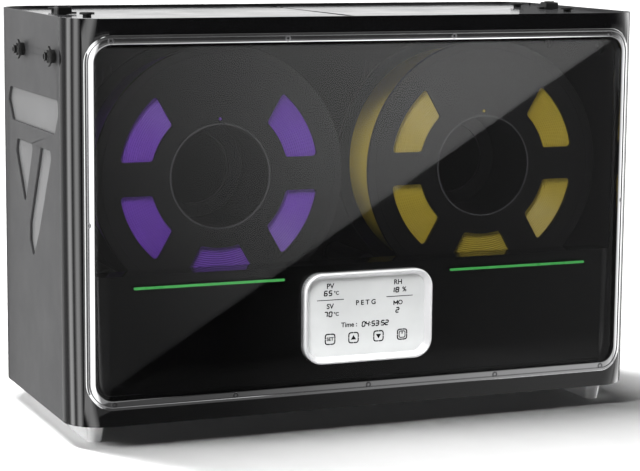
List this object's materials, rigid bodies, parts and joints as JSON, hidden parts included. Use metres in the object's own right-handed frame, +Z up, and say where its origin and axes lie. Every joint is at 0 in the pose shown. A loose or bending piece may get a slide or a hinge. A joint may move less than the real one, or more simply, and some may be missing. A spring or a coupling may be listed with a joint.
{
  "type": "filament dryer box",
  "caption": "Heated dryer box for filament spools, with a smoked window, centre-hinged lids, roller-borne spools, side tube ports and a control panel",
  "frame": {"origin": "on the standing surface, below the middle of the box", "axes": "+X to the right seen from the front, +Y from the front to the back, +Z up"},
  "size_m": [0.4862, 0.221, 0.3207],
  "materials": {
    "shell_black": "gloss",
    "panel_grey": "satin",
    "plate_grey": "satin",
    "cover_black": "satin",
    "smoked_acrylic": "gloss",
    "rim_acrylic": "gloss",
    "steel": "satin",
    "bezel_chrome": "gloss",
    "display_glass": "gloss",
    "green_bar": "gloss",
    "lid_plastic": "gloss",
    "frame_black": "matte",
    "liner_sheet": "satin",
    "seal_rubber": "matte",
    "rail_clear": "gloss",
    "fitting_black": "matte",
    "spool_black": "satin",
    "purple_pla": "gloss",
    "gold_pla": "gloss",
    "roller_grey": "satin",
    "board_green": "satin",
    "heater_alu": "satin",
    "cage_steel": "satin"
  },
  "bodies": {
    "case": {"front_fascia": "shell_black", "window_rim": "rim_acrylic", "window_panel": "smoked_acrylic", "rim_screws": "steel", "control_bezel": "bezel_chrome", "control_glass": "display_glass", "display_module": "board_green", "light_bars": "green_bar", "side_panel_right": "panel_grey", "side_panel_left": "panel_grey", "recess_plate_right": "plate_grey", "recess_plate_left": "plate_grey", "rear_cover": "cover_black", "base_plate": "cover_black", "skid_rails": "rail_clear", "case_screws": "steel", "top_frame": "frame_black", "centre_beam": "frame_black", "hinge_pins": "steel", "lid_gasket": "seal_rubber", "tube_fittings": "fitting_black", "front_dash": "shell_black", "chamber_floor": "liner_sheet", "liner_right": "liner_sheet", "liner_left": "liner_sheet", "liner_rear": "liner_sheet", "roller_axles": "steel", "roller_bearings": "steel", "fan_housings": "frame_black", "ptc_heaters": "heater_alu", "control_board": "board_green", "power_supply": "cage_steel", "humidity_sensor": "board_green", "mains_inlet": "frame_black"},
    "lid_left": {"lid_left": "lid_plastic"},
    "latch_left": {"latch_left": "frame_black"},
    "outlet_plug_front_left": {"outlet_plug_front_left": "seal_rubber"},
    "fitting_collet_front_left": {"fitting_collet_front_left": "fitting_black"},
    "outlet_plug_rear_left": {"outlet_plug_rear_left": "seal_rubber"},
    "fitting_collet_rear_left": {"fitting_collet_rear_left": "fitting_black"},
    "spool_left": {"spool_left": "spool_black", "filament_left": "purple_pla"},
    "fan_impeller_left": {"fan_impeller_left": "frame_black"},
    "roller_front_left_a": {"roller_front_left_a": "roller_grey"},
    "roller_rear_left_a": {"roller_rear_left_a": "roller_grey"},
    "roller_front_left_b": {"roller_front_left_b": "roller_grey"},
    "roller_rear_left_b": {"roller_rear_left_b": "roller_grey"},
    "lid_right": {"lid_right": "lid_plastic"},
    "latch_right": {"latch_right": "frame_black"},
    "outlet_plug_front_right": {"outlet_plug_front_right": "seal_rubber"},
    "fitting_collet_front_right": {"fitting_collet_front_right": "fitting_black"},
    "outlet_plug_rear_right": {"outlet_plug_rear_right": "seal_rubber"},
    "fitting_collet_rear_right": {"fitting_collet_rear_right": "fitting_black"},
    "spool_right": {"spool_right": "spool_black", "filament_right": "gold_pla"},
    "fan_impeller_right": {"fan_impeller_right": "frame_black"},
    "roller_front_right_a": {"roller_front_right_a": "roller_grey"},
    "roller_rear_right_a": {"roller_rear_right_a": "roller_grey"},
    "roller_front_right_b": {"roller_front_right_b": "roller_grey"},
    "roller_rear_right_b": {"roller_rear_right_b": "roller_grey"}
  },
  "joints": [
    {"name": "lid_left_hinge", "type": "hinge", "parent": "case", "child": "lid_left", "pos_m": [-0.004, 0, 0.311], "axis": [0, 1, 0], "range_deg": [0, 85]},
    {"name": "latch_left_turn", "type": "hinge", "parent": "lid_left", "child": "latch_left", "pos_m": [-0.2095, 0.001, 0.302], "axis": [0, 0, 1], "range_deg": [-180, 0]},
    {"name": "outlet_plug_front_left_pull", "type": "slide", "parent": "lid_left", "child": "outlet_plug_front_left", "axis": [0, 0, 1], "range_m": [0, 0.01]},
    {"name": "fitting_collet_front_left_press", "type": "slide", "parent": "case", "child": "fitting_collet_front_left", "axis": [1, 0, 0], "range_m": [0, 0.0008], "stiffness_N_per_m": 500},
    {"name": "outlet_plug_rear_left_pull", "type": "slide", "parent": "lid_left", "child": "outlet_plug_rear_left", "axis": [0, 0, 1], "range_m": [0, 0.01]},
    {"name": "fitting_collet_rear_left_press", "type": "slide", "parent": "case", "child": "fitting_collet_rear_left", "axis": [1, 0, 0], "range_m": [0, 0.0008], "stiffness_N_per_m": 500},
    {"name": "spool_left_spin", "type": "hinge", "parent": "case", "child": "spool_left", "pos_m": [-0.1105, -0.0475, 0.195], "axis": [0, 1, 0], "continuous": true},
    {"name": "fan_left_spin", "type": "hinge", "parent": "case", "child": "fan_impeller_left", "pos_m": [-0.1105, 0.008, 0.05], "axis": [0, 0, 1], "continuous": true},
    {"name": "roller_front_left_a_spin", "type": "hinge", "parent": "case", "child": "roller_front_left_a", "pos_m": [-0.17416, -0.047, 0.10738], "axis": [0, 1, 0], "continuous": true},
    {"name": "roller_rear_left_a_spin", "type": "hinge", "parent": "case", "child": "roller_rear_left_a", "pos_m": [-0.17416, 0.0375, 0.10738], "axis": [0, 1, 0], "continuous": true},
    {"name": "roller_front_left_b_spin", "type": "hinge", "parent": "case", "child": "roller_front_left_b", "pos_m": [-0.04684, -0.047, 0.10738], "axis": [0, 1, 0], "continuous": true},
    {"name": "roller_rear_left_b_spin", "type": "hinge", "parent": "case", "child": "roller_rear_left_b", "pos_m": [-0.04684, 0.0375, 0.10738], "axis": [0, 1, 0], "continuous": true},
    {"name": "lid_right_hinge", "type": "hinge", "parent": "case", "child": "lid_right", "pos_m": [0.004, 0, 0.311], "axis": [0, -1, 0], "range_deg": [0, 85]},
    {"name": "latch_right_turn", "type": "hinge", "parent": "lid_right", "child": "latch_right", "pos_m": [0.2095, 0.001, 0.302], "axis": [0, 0, 1], "range_deg": [0, 180]},
    {"name": "outlet_plug_front_right_pull", "type": "slide", "parent": "lid_right", "child": "outlet_plug_front_right", "axis": [0, 0, 1], "range_m": [0, 0.01]},
    {"name": "fitting_collet_front_right_press", "type": "slide", "parent": "case", "child": "fitting_collet_front_right", "axis": [-1, 0, 0], "range_m": [0, 0.0008], "stiffness_N_per_m": 500},
    {"name": "outlet_plug_rear_right_pull", "type": "slide", "parent": "lid_right", "child": "outlet_plug_rear_right", "axis": [0, 0, 1], "range_m": [0, 0.01]},
    {"name": "fitting_collet_rear_right_press", "type": "slide", "parent": "case", "child": "fitting_collet_rear_right", "axis": [-1, 0, 0], "range_m": [0, 0.0008], "stiffness_N_per_m": 500},
    {"name": "spool_right_spin", "type": "hinge", "parent": "case", "child": "spool_right", "pos_m": [0.1105, -0.0475, 0.195], "axis": [0, 1, 0], "continuous": true},
    {"name": "fan_right_spin", "type": "hinge", "parent": "case", "child": "fan_impeller_right", "pos_m": [0.1105, 0.008, 0.05], "axis": [0, 0, 1], "continuous": true},
    {"name": "roller_front_right_a_spin", "type": "hinge", "parent": "case", "child": "roller_front_right_a", "pos_m": [0.04684, -0.047, 0.10738], "axis": [0, 1, 0], "continuous": true},
    {"name": "roller_rear_right_a_spin", "type": "hinge", "parent": "case", "child": "roller_rear_right_a", "pos_m": [0.04684, 0.0375, 0.10738], "axis": [0, 1, 0], "continuous": true},
    {"name": "roller_front_right_b_spin", "type": "hinge", "parent": "case", "child": "roller_front_right_b", "pos_m": [0.17416, -0.047, 0.10738], "axis": [0, 1, 0], "continuous": true},
    {"name": "roller_rear_right_b_spin", "type": "hinge", "parent": "case", "child": "roller_rear_right_b", "pos_m": [0.17416, 0.0375, 0.10738], "axis": [0, 1, 0], "continuous": true}
  ],
  "couplings": [
    {"joint": "roller_front_left_a_spin", "follows": "spool_left_spin", "ratio": -12.5},
    {"joint": "roller_front_left_b_spin", "follows": "spool_left_spin", "ratio": -12.5},
    {"joint": "roller_front_right_a_spin", "follows": "spool_right_spin", "ratio": -12.5},
    {"joint": "roller_front_right_b_spin", "follows": "spool_right_spin", "ratio": -12.5}
  ]
}
